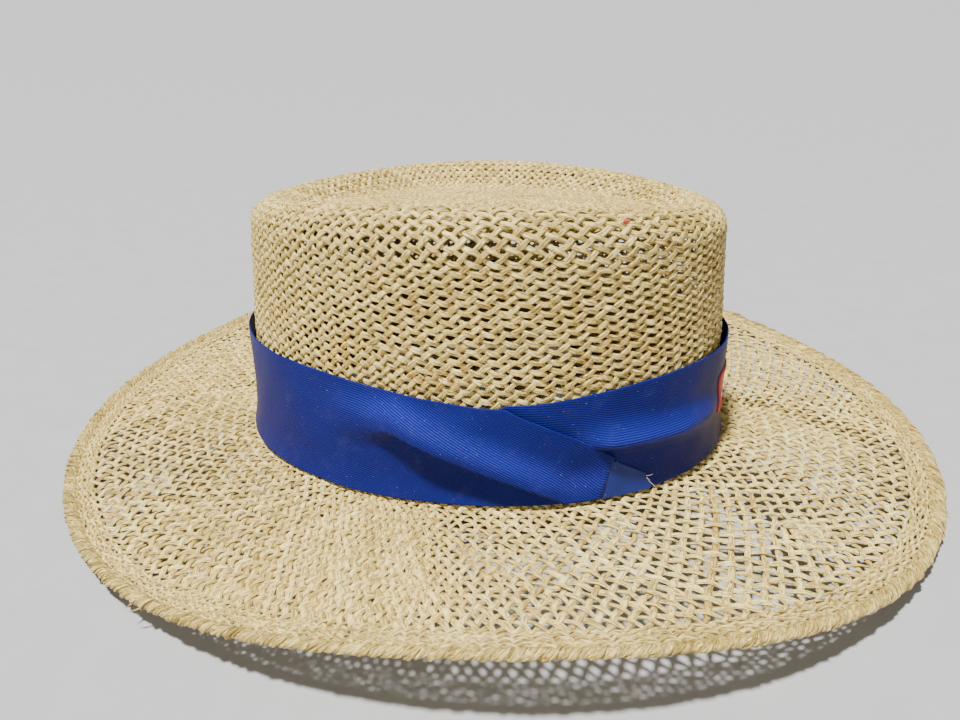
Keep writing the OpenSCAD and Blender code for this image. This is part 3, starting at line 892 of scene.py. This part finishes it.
def build_badge(field, border):
    """A plain woven badge with rounded corners and a satin-stitched border."""
    x = (edged(44, 0.01) - 0.5) * BADGE_W
    q = edged(22, 0.02) - 0.5
    corner = np.clip((np.abs(x) - BADGE_W / 2 + BADGE_ROUND) / BADGE_ROUND, 0, 1)
    high = BADGE_H - 2 * BADGE_ROUND * (1 - np.sqrt(1 - 0.98 * corner ** 2))
    y = high[:, None] * q
    middle = on_badge(x[:, None] + 0 * y, y, 0.05 + BADGE_T / 2)
    piece = cloth("badge_field", middle, BADGE_T, field, ["front_badge"])

    x, y, a = badge_outline(BORDER_STEP)
    u = np.linspace(-1, 1, 9)
    reach = BORDER_STITCH / 2 * u - 0.55
    slant = 0.3 * u
    x, y = x + reach * np.cos(a) - slant * np.sin(a), y + reach * np.sin(a) + slant * np.cos(a)
    centres = on_badge(x, y, 0.1 + (BADGE_T + 0.1) * np.sqrt(1 - u ** 2) + 0 * x)
    tone = np.random.default_rng(SEED + 3).normal(0, 1, len(x))[:, None]
    width = BORDER_STEP * 1.15
    rim = tube_piece("badge_border", centres, wall_outward(BADGE_MID + y, 0 * x), width, width * 0.6,
                     tone, border, ["front_badge"])


# ---- Sweatband ----

LEATHER_T = 0.7
REED_CORE = 0.475
REED_H, REED_D = REED_R, SWEAT_D + SWEAT_T / 2
TURN_UP = 5.5          # height of the leather's edge behind the reed
STITCH_H, STITCH_LEN = 2 * REED_R + 2, 4.6


def sweatband_face(h):
    """How far out the middle of the leather is, where it runs up from the reed."""
    return REED_D - (REED_R - LEATHER_T / 2) * (1 - smooth_step(h, REED_H, 12))


def build_sweatband(material):
    """The leather band, folded round its reed."""
    t = np.interp(edged(240, 0.001), [0, 1], [-179.8, 179.8])[:, None]
    around = np.linspace(0, math.pi, 12)[None, :]
    bend_r = REED_R - LEATHER_T / 2
    turn = np.radians(t)
    top = SWEAT_H + 0.35 * np.sin(7 * turn) + 0.2 * np.sin(15 * turn + 1)
    down = np.concatenate([[0, 0.03], np.linspace(0.06, 0.95, 5)])
    behind = TURN_UP + (REED_H - TURN_UP) * down + 0 * t
    front = REED_H + (top - REED_H) * np.concatenate([np.linspace(0.02, 0.99, 30), [0.995, 1]])
    wave = 0.14 * np.sin(9 * turn + 2) + 0.1 * np.sin(23 * turn)
    h = np.concatenate([behind, REED_H - bend_r * np.sin(around) + 0 * t, front], axis=1)
    d = np.concatenate([REED_D + bend_r + 0 * behind, REED_D + bend_r * np.cos(around) + 0 * t,
                        sweatband_face(front) + wave * front / SWEAT_H], axis=1)
    piece = cloth("sweatband_leather", on_wall(h, d, t), LEATHER_T, material, ["sweatband"])


def build_reed(material):
    """The cord in the sweatband's lower fold."""
    t = np.linspace(-180, 180, 181)
    size = 2 * REED_CORE
    centres = on_wall(REED_H + 0 * t, REED_D + 0 * t, t)
    tube_piece("sweatband_reed_core", centres, wall_outward(REED_H + 0 * t, t), size, size, 0,
               material, ["sweatband_reed"], sides=10)


def build_sweatband_thread(material):
    """The stitches that join the sweatband to the straw, and the crossed ones of its seam at the back."""
    t = -180 + (np.arange(STITCH_COUNT) + 0.5) * 360 / STITCH_COUNT
    d = sweatband_face(np.array(STITCH_H)) - LEATHER_T / 2 - 0.02
    paths, lifts = stitch_paths(t, STITCH_H + 0 * t, d, STITCH_LEN, 0, -0.2)
    thread_piece("sweatband_stitching", paths, lifts, ["sweatband_stitches"], material, 0.25)

    h = np.arange(2 * REED_R + 4, SWEAT_H - 2.9, 2.5)
    both = []
    for slope in (35, -35):
        d = REED_D - LEATHER_T / 2 - 0.05
        both.append(stitch_paths(180 + 0 * h, h, d, 3.2, math.radians(slope), -0.2))
    paths, lifts = (np.concatenate(group) for group in zip(*both))
    thread_piece("sweatband_seam_thread", paths, lifts, ["sweatband_seam"], material, 0.22)


BOW_H, BOW_T = 6, 0.35
BOW_AT = SWEAT_H * 0.6
BOW_D = SWEAT_D - 3.2


def strip(name, path, across, widths, notch, material):
    """A narrow ribbon along a path, with a notch of some depth cut in its last end."""
    q = np.concatenate([[-0.5, -0.49], np.linspace(-0.45, 0.45, 7), [0.49, 0.5]])
    middle = path[:, None] + across[:, None] * (widths[:, None] * q)[..., None]
    heading = unit(path[-1] - path[-2])
    drawn_in = notch * (1 - 2 * np.abs(q)) * np.linspace(0, 1, len(path))[:, None] ** 12
    middle = middle - heading * drawn_in[..., None]
    return cloth(name, middle, BOW_T, material, ["sweatband_bow"])


def build_bow(material):
    """The flat bow over the seam: two loops, two tails and the knot round them."""
    seat = wall_point(BOW_AT, BOW_D, math.pi)

    def placed(inward, along, up):
        return leaned(seat + np.stack([inward + 0 * up, along + 0 * up, up], -1))

    a = np.linspace(0.06, 2 * math.pi - 0.06, 36)
    s = np.linspace(0, 1, 16)
    belly = (1 - np.cos(a)) / 2
    for k, side in enumerate((-1, 1)):
        loop = placed(1.5 * np.sin(a) - 0.9 * belly, side * (1.2 + 11 * belly), 0.5 * np.sin(a / 2) - 0.4)
        across = np.stack([0 * a, 0.12 * side * belly, 1 + 0 * a], -1)
        strip(f"bow_loop_{k + 1}", loop, unit(across), 3.6 + (BOW_H - 3.6) * np.sqrt(belly), 0, material)
        tail = placed(-0.6 - 0.7 * s, side * (0.4 + 6.5 * s), -1.0 - 9 * s)
        across = np.tile(unit(np.array([0.0, 0.8, 0.45 * side])), (len(s), 1))
        strip(f"bow_tail_{k + 1}", tail, across, 3.4 + 2.2 * np.sqrt(s), 1.6, material)
    a = np.linspace(0, 2 * math.pi + 0.2, 30)
    strip("bow_knot", placed(1.75 * np.cos(a) + 0.02 * a, 0.15 * np.sin(3 * a), 2.4 * np.sin(a)),
          np.tile([0.0, 1.0, 0.0], (len(a), 1)), 3.2 + 0.25 * np.sin(2 * a), 0, material)


def build_tab(material):
    """The blank size tab tucked behind the sweatband."""
    low, high, corner = SWEAT_H - 12, SWEAT_H + 7, 1.8
    h = low + (high - low) * edged(26, 0.01)[:, None]
    q = edged(12, 0.02) - 0.5
    cut = np.clip((h - high + corner) / corner, 0, 1)
    width = 1 - 0.24 * (1 - np.sqrt(1 - 0.98 * cut ** 2))
    t = TAB_AT + TAB_SPAN / 2 + TAB_SPAN * width * q
    d = -STRAW_T - 0.45 - 0.5 * smooth_step(h, SWEAT_H, high) + 0 * q
    cloth("size_tab_card", on_wall(h + 0 * q, d, t), 0.3, material, ["size_tab"])


# ---- Materials ----


class Nodes:
    """A small helper for building a material's nodes."""

    def __init__(self, name):
        self.material = bpy.data.materials.new(name)
        self.material.use_nodes = True
        self.tree = self.material.node_tree
        self.shader = self.tree.nodes["Principled BSDF"]

    def set(self, socket, value):
        if isinstance(value, bpy.types.NodeSocket):
            self.tree.links.new(value, socket)
        else:
            socket.default_value = value

    def add(self, kind, inputs=None, **settings):
        node = self.tree.nodes.new(kind)
        for key, value in settings.items():
            setattr(node, key, value)
        for key, value in (inputs or {}).items():
            self.set(node.inputs[key], value)
        return node

    def attribute(self, name, output="Vector"):
        return self.add("ShaderNodeAttribute", attribute_name=name).outputs[output]

    def place(self):
        return self.add("ShaderNodeTexCoord").outputs["Object"]

    def maths(self, operation, a, b=0.0, c=0.0):
        return self.add("ShaderNodeMath", {0: a, 1: b, 2: c}, operation=operation).outputs[0]

    def times(self, a, b, plus=0.0):
        return self.maths("MULTIPLY_ADD", a, b, plus)

    def less(self, a):
        """What a leaves of 1."""
        return self.maths("SUBTRACT", 1.0, a)

    def noise(self, vector, scale, detail=2.0, rough=0.5):
        inputs = {"Vector": vector, "Scale": scale, "Detail": detail, "Roughness": rough}
        return self.add("ShaderNodeTexNoise", inputs).outputs["Fac"]

    def scaled(self, vector, by):
        return self.add("ShaderNodeVectorMath", {0: vector, 1: by}, operation="MULTIPLY").outputs[0]

    def split(self, vector):
        return self.add("ShaderNodeSeparateXYZ", {0: vector}).outputs

    def between(self, value, low, high):
        """0 up to low, 1 from high on, and smooth between them."""
        inputs = {"Value": value, "From Min": low, "From Max": high}
        return self.add("ShaderNodeMapRange", inputs, interpolation_type="SMOOTHSTEP").outputs["Result"]

    def ramp(self, value, stops):
        node = self.add("ShaderNodeValToRGB", {"Fac": value})
        marks = node.color_ramp.elements
        while len(marks) < len(stops):
            marks.new(1)
        for mark, (place, colour) in zip(marks, stops):
            mark.position = place
            mark.color = (*colour, 1)
        return node.outputs["Color"]

    def mix(self, factor, a, b):
        node = self.add("ShaderNodeMix", data_type="RGBA")
        colours = [socket for socket in node.inputs if socket.type == "RGBA"]
        self.set(node.inputs["Factor"], factor)
        for socket, value in zip(colours, (a, b)):
            self.set(socket, value if isinstance(value, bpy.types.NodeSocket) else (*value, 1))
        return next(socket for socket in node.outputs if socket.type == "RGBA")

    def bump(self, height, strength, distance, normal=None):
        inputs = {"Height": height, "Strength": strength, "Distance": distance}
        if normal:
            inputs["Normal"] = normal
        return self.add("ShaderNodeBump", inputs).outputs["Normal"]

    def shade(self, **values):
        for key, value in values.items():
            self.set(self.shader.inputs[key.replace("_", " ")], value)
        return self.material


def straw_material(name, dark, middle, pale):
    """Dry split straw: streaks and creases along each strand, and strands that differ in tone."""
    n = Nodes(name)
    fibre = n.attribute("fibre")
    tone = n.attribute("tone", "Fac")
    apart = n.add("ShaderNodeCombineXYZ", {"X": n.times(tone, 37.0)}).outputs[0]
    along = n.scaled(fibre, (0.2, 1.5, 1.5))
    moved = n.add("ShaderNodeVectorMath", {0: along, 1: apart}, operation="ADD").outputs[0]
    streak = n.noise(moved, 1.6, 3.0, 0.6)
    crease = n.between(n.noise(moved, 2.0, 1.0), 0.38, 0.46)
    patch = n.noise(n.scaled(fibre, (0.12, 0.0, 0.0)), 1.0, 1.0)
    cloudy = n.noise(n.place(), 22.0, 2.0)
    level = n.times(tone, 0.07, 0.08)
    level = n.times(streak, 0.5, level)
    level = n.times(patch, 0.15, level)
    level = n.times(cloudy, 0.18, level)
    colour = n.ramp(level, [(0.2, dark), (0.42, middle), (0.66, pale)])
    # Crease lines darkened towards the dark tone: partly the straw's own dark split lines, partly painted
    # shade in the grooves.
    shaded = n.mix(n.times(n.less(crease), 0.68), colour, dark)
    height = n.times(crease, 0.6, streak)
    return n.shade(Base_Color=shaded, Roughness=n.times(streak, 0.25, 0.36),
                   Normal=n.bump(height, 1.0, 0.0005), Specular_IOR_Level=0.5)


RIB_STEP = 0.9         # from one rib of the twill to the next, in millimetres


def ribbon_material():
    """Blue twill: fine diagonal ribs, a satin sheen that is partly a painted highlight on the ribs where the
    cloth stands proud, faded patches and specks of dust.
    """
    n = Nodes("ribbon_twill")
    spot = n.attribute("cloth")
    across_ribs = n.split(spot)["Y"]
    waver = n.noise(n.scaled(spot, (0.3, 0.3, 0)), 1.0, 2.0)
    phase = n.times(waver, 2.5)
    phase = n.times(across_ribs, 2 * math.pi / RIB_STEP, phase)
    rib = n.times(n.maths("SINE", phase), 0.5, 0.5)
    yarn = n.noise(n.scaled(spot, (3.2, 1.1, 0)), 1.0, 2.0, 0.6)
    faded = n.between(n.noise(n.place(), 16.0, 2.0), 0.35, 0.75)
    colour = n.mix(faded, (0.004, 0.0058, 0.069), (0.0055, 0.0082, 0.096))
    # Painted highlight: the ribs are brightened where the cloth stands proud, on top of their own even
    # contrast.
    bright = n.times(n.attribute("painted_highlight", "Fac"), 0.75, 0.45)
    lit = n.times(n.times(rib, yarn), bright)
    colour = n.mix(lit, colour, (0.042, 0.055, 0.48))
    film = n.between(n.noise(n.place(), 150.0, 5.0, 0.7), 0.5, 0.85)
    dust = n.maths("MAXIMUM", specks(n, spot, 0.2, 0.4, 0.8), specks(n, spot, 0.55, 0.35, 0.3))
    dust = n.maths("MAXIMUM", dust, n.times(film, 0.03))
    colour = n.mix(dust, colour, (0.50, 0.54, 0.62))
    height = n.times(yarn, 0.4, rib)
    return n.shade(Base_Color=colour, Roughness=n.times(yarn, 0.2, 0.40),
                   Normal=n.bump(height, 0.5, 0.00012), Specular_IOR_Level=0.12,
                   Specular_Tint=(0.2, 0.3, 1.0, 1))


def specks(n, spot, scale, share, strength):
    """Specks of dust on the cloth: how many a millimetre, and what share of those is kept."""
    cells = n.add("ShaderNodeTexVoronoi", {"Vector": spot, "Scale": scale})
    near = n.less(n.between(cells.outputs["Distance"], 0.09 * scale, 0.18 * scale))
    chosen = n.maths("LESS_THAN", n.split(cells.outputs["Color"])["X"], share)
    return n.times(near, n.times(chosen, strength))


def reverse_material():
    """Back of the ribbon: smoother and paler than its face, with a faint weave."""
    n = Nodes("ribbon_back")
    spot = n.attribute("cloth")
    yarn = n.noise(n.scaled(spot, (4.0, 1.0, 0)), 1.0, 3.0, 0.6)
    wear_and_painted_highlight = n.noise(n.place(), 120.0, 2.0)
    tone = n.times(yarn, 0.5, n.times(wear_and_painted_highlight, 0.5))
    colour = n.ramp(tone, [(0.3, (0.007, 0.013, 0.12)), (0.7, (0.014, 0.026, 0.20))])
    return n.shade(Base_Color=colour, Roughness=n.times(yarn, 0.2, 0.45),
                   Normal=n.bump(yarn, 0.3, 0.0001), Specular_Tint=(0.45, 0.6, 1.0, 1))


def thread_material(name, colour, shade):
    """Sewing thread with fine fibres and a little fuzz."""
    n = Nodes(name)
    fibre = n.attribute("fibre")
    streak = n.noise(n.scaled(fibre, (1.4, 3.0, 3.0)), 2.2, 2.0)
    tint = n.mix(n.between(streak, 0.3, 0.7), shade, colour)
    return n.shade(Base_Color=tint, Roughness=n.times(streak, 0.2, 0.6),
                   Normal=n.bump(streak, 0.5, 0.0001), Sheen_Weight=0.3, Sheen_Roughness=0.5)


def leather_material(name, dark, middle, pale):
    """Thin leather: a fine pebbled grain, creases and a rubbed, uneven tone."""
    n = Nodes(name)
    place = n.place()
    cells = n.add("ShaderNodeTexVoronoi", {"Vector": place, "Scale": 900.0}, feature="SMOOTH_F1")
    pebble = n.between(cells.outputs["Distance"], 0.1, 0.7)
    crease = n.noise(n.scaled(place, (1.0, 1.0, 2.6)), 160.0, 4.0, 0.65)
    wear_and_painted_highlight = n.noise(place, 28.0, 3.0, 0.6)
    tone = n.times(wear_and_painted_highlight, 0.7, n.times(crease, 0.35))
    colour = n.ramp(tone, [(0.3, dark), (0.52, middle), (0.78, pale)])
    height = n.times(crease, 0.8, n.less(pebble))
    return n.shade(Base_Color=colour, Roughness=n.times(wear_and_painted_highlight, -0.25, 0.62),
                   Normal=n.bump(height, 0.5, 0.0002), Specular_IOR_Level=0.45)


BADGE_STRIPE = (-3.3, -0.6)    # lower and upper edge of the white stripe, from the badge's middle


def badge_field_material():
    """Close ribbon weave, red with one white stripe."""
    n = Nodes("badge_weave")
    spot = n.attribute("cloth")
    along, across = n.split(spot)["X"], n.split(spot)["Y"]
    weft = n.maths("SINE", n.times(across, 2 * math.pi / 0.45))
    warp = n.maths("SINE", n.times(along, 2 * math.pi / 0.6))
    thread = n.times(n.times(weft, warp), 0.5, 0.5)
    yarn = n.noise(n.scaled(spot, (0.8, 4.0, 0)), 1.0, 2.0)
    red = n.mix(n.times(thread, yarn), (0.42, 0.012, 0.016), (0.72, 0.035, 0.04))
    white = n.mix(n.times(thread, yarn), (0.66, 0.65, 0.61), (0.86, 0.85, 0.82))
    low, high = (edge + BADGE_H / 2 for edge in BADGE_STRIPE)
    ragged = n.times(yarn, 0.25, across)
    above, below = n.between(ragged, low, low + 0.15), n.between(ragged, high, high - 0.15)
    colour = n.mix(n.times(above, below), red, white)
    return n.shade(Base_Color=colour, Roughness=n.times(yarn, 0.2, 0.5),
                   Normal=n.bump(thread, 0.6, 0.00012), Sheen_Weight=0.25, Sheen_Roughness=0.4)


def card_material():
    """Coated label card with a faint fibre and handling marks."""
    n = Nodes("tab_card")
    place = n.place()
    fibre = n.noise(n.scaled(place, (1.0, 1.0, 0.3)), 900.0, 3.0)
    stain = n.noise(place, 130.0, 3.0, 0.6)
    tone = n.times(fibre, 0.25, n.times(stain, 0.7))
    colour = n.ramp(tone, [(0.3, (0.66, 0.63, 0.55)), (0.6, (0.82, 0.80, 0.74))])
    return n.shade(Base_Color=colour, Roughness=n.times(stain, 0.2, 0.4),
                   Normal=n.bump(fibre, 0.25, 0.0001))


def wire_material():
    """Drawn steel with fine lines along it and a little tarnish."""
    n = Nodes("drawn_wire")
    place = n.place()
    drawn = n.noise(n.scaled(place, (0.1, 0.1, 3.0)), 2500.0, 2.0)
    tarnish = n.noise(place, 90.0, 3.0, 0.6)
    colour = n.ramp(tarnish, [(0.35, (0.34, 0.31, 0.27)), (0.6, (0.60, 0.61, 0.63))])
    return n.shade(Base_Color=colour, Roughness=n.times(drawn, 0.25, 0.25),
                   Normal=n.bump(drawn, 0.3, 0.00005), Metallic=1.0)


# ---- Stage ----

CAMERA_AT = (0.0271, -0.3086, 0.1842)
CAMERA_HEADING = math.radians(6.3)     # turned from looking along +Y towards -X
CAMERA_DOWN = math.radians(26.6)
CAMERA_ROLL = math.radians(-0.56)
CAMERA_LENS = 28.2
FLOOR_HALF = 60.0


def build_camera():
    data = bpy.data.cameras.new("camera")
    data.lens = CAMERA_LENS
    data.clip_start = 0.01
    camera = bpy.data.objects.new("camera", data)
    turn = (Matrix.Rotation(CAMERA_HEADING, 4, "Z") @ Matrix.Rotation(math.pi / 2 - CAMERA_DOWN, 4, "X")
            @ Matrix.Rotation(CAMERA_ROLL, 4, "Z"))
    camera.matrix_world = Matrix.Translation(CAMERA_AT) @ turn
    bpy.context.scene.collection.objects.link(camera)
    bpy.context.scene.camera = camera


def light(name, kind, at, aim, power, **settings):
    data = bpy.data.lights.new(name, kind)
    data.energy = power
    for key, value in settings.items():
        setattr(data, key, value)
    lamp = bpy.data.objects.new(name, data)
    lamp.location = at
    lamp.rotation_euler = (Vector(aim) - Vector(at)).to_track_quat("-Z", "Y").to_euler()
    bpy.context.scene.collection.objects.link(lamp)


def build_stage():
    n = Nodes("floor_paint")
    fleck = n.noise(n.place(), 60.0, 3.0)
    colour = n.ramp(fleck, [(0.3, (0.34, 0.34, 0.34)), (0.7, (0.36, 0.36, 0.36))])
    n.shade(Base_Color=colour, Roughness=0.8)
    mesh = bpy.data.meshes.new("floor")
    corners = [(x * FLOOR_HALF, y * FLOOR_HALF, 0) for x, y in ((-1, -1), (1, -1), (1, 1), (-1, 1))]
    mesh.from_pydata(corners, [], [(0, 1, 2, 3)])
    mesh.materials.append(n.material)
    floor = bpy.data.objects.new("floor", mesh)
    bpy.context.scene.collection.objects.link(floor)
    world = bpy.data.worlds.new("studio")
    world.use_nodes = True
    background = world.node_tree.nodes["Background"]
    background.inputs["Color"].default_value = (0.86, 0.86, 0.87, 1)
    background.inputs["Strength"].default_value = 0.2
    bpy.context.scene.world = world
    light("key", "SUN", (-0.2, -0.16, 1.0), (0, 0, 0), 9.5, angle=math.radians(5))
    light("fill", "AREA", (-0.1, -1.1, 0.5), (0, 0, 0.06), 5, shape="DISK", size=0.6)


# ---- The scene ----

straw = straw_material("straw", (0.21, 0.11, 0.018), (0.70, 0.505, 0.135), (0.93, 0.745, 0.27))
edge_straw = straw_material("edge_straw", (0.20, 0.105, 0.018), (0.62, 0.435, 0.105), (0.86, 0.68, 0.225))
ribbon = ribbon_material()
white_thread = thread_material("white_thread", (0.82, 0.81, 0.77), (0.55, 0.53, 0.48))
blue_thread = thread_material("blue_thread", (0.035, 0.07, 0.32), (0.015, 0.03, 0.16))
badge_thread = thread_material("badge_thread", (0.74, 0.035, 0.04), (0.40, 0.012, 0.015))
leather = leather_material("sweatband_leather", (0.10, 0.042, 0.016), (0.20, 0.095, 0.04), (0.33, 0.17, 0.08))
reed = leather_material("reed_skin", (0.08, 0.03, 0.012), (0.15, 0.065, 0.028), (0.26, 0.12, 0.055))

build_camera()
build_stage()
build_weave(straw)
edge_random = np.random.default_rng(SEED + 1)
fibre_random = np.random.default_rng(SEED + 2)
build_overcast(edge_random, edge_straw)
build_edge_core(edge_random, edge_straw)
build_loose_fibres(fibre_random, straw)
build_tufts(fibre_random, edge_straw)
build_fleck(fibre_random, badge_thread)
build_wrap(ribbon)
build_lap(ribbon)
build_tail(reverse_material())
build_tacks(white_thread, blue_thread)
build_badge(badge_field_material(), badge_thread)
build_sweatband(leather)
build_reed(reed)
build_sweatband_thread(white_thread)
build_bow(ribbon)
build_tab(card_material())
edge_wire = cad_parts["edge_wire"]
edge_wire.data.materials.clear()
edge_wire.data.materials.append(wire_material())
